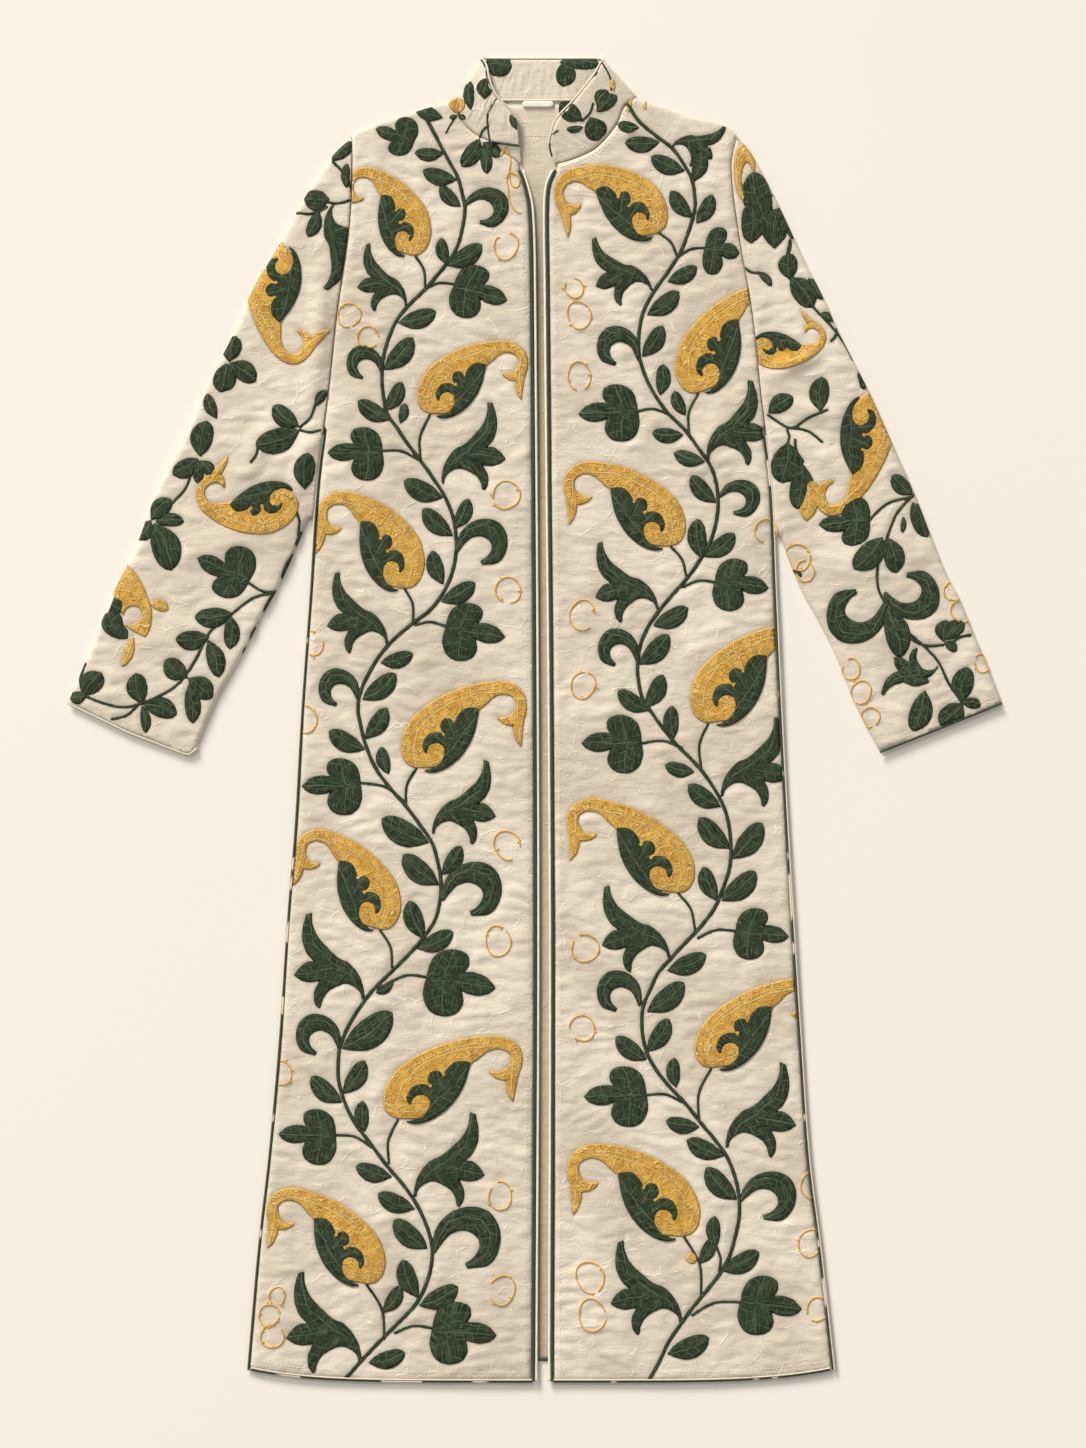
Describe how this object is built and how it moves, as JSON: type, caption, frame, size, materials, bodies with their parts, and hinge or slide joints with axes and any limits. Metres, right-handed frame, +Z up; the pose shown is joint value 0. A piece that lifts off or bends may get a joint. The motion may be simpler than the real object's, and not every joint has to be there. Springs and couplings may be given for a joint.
{
  "type": "kaftan",
  "caption": "Long open kaftan coat laid flat on its back, with straight sleeves, a low stand collar, piped edges and raised vine, leaf and paisley embroidery.",
  "frame": {"origin": "on the floor, under the centre of the laid coat's box", "axes": "+Y from the hem to the collar, +Z up off the floor, out of the coat's front, +X to the wearer's left"},
  "size_m": [0.9348, 1.3272, 0.012],
  "materials": {
    "cloth": "cream quilted cotton with a fine crinkle, embroidered in dark green and ochre yellow",
    "lining": "plain cream cotton",
    "green_piping": "dark green corded piping",
    "cream_binding": "pale cream edge binding"
  },
  "bodies": {
    "root": {"back": "cloth", "front_right": "cloth", "front_left": "cloth", "sleeve_right": "cloth", "sleeve_left": "cloth", "collar": "cloth", "collar_tab": "lining", "hanger_loop": "lining", "edge_piping_right": "green_piping", "edge_piping_left": "green_piping", "side_piping_right": "green_piping", "side_piping_left": "green_piping", "hem_piping_right": "green_piping", "hem_piping_left": "green_piping", "hem_piping_back": "green_piping", "cuff_piping_left": "green_piping", "cuff_piping_right": "cream_binding", "collar_piping": "cream_binding", "edge_binding_right": "cream_binding", "edge_binding_left": "cream_binding"}
  },
  "joints": []
}
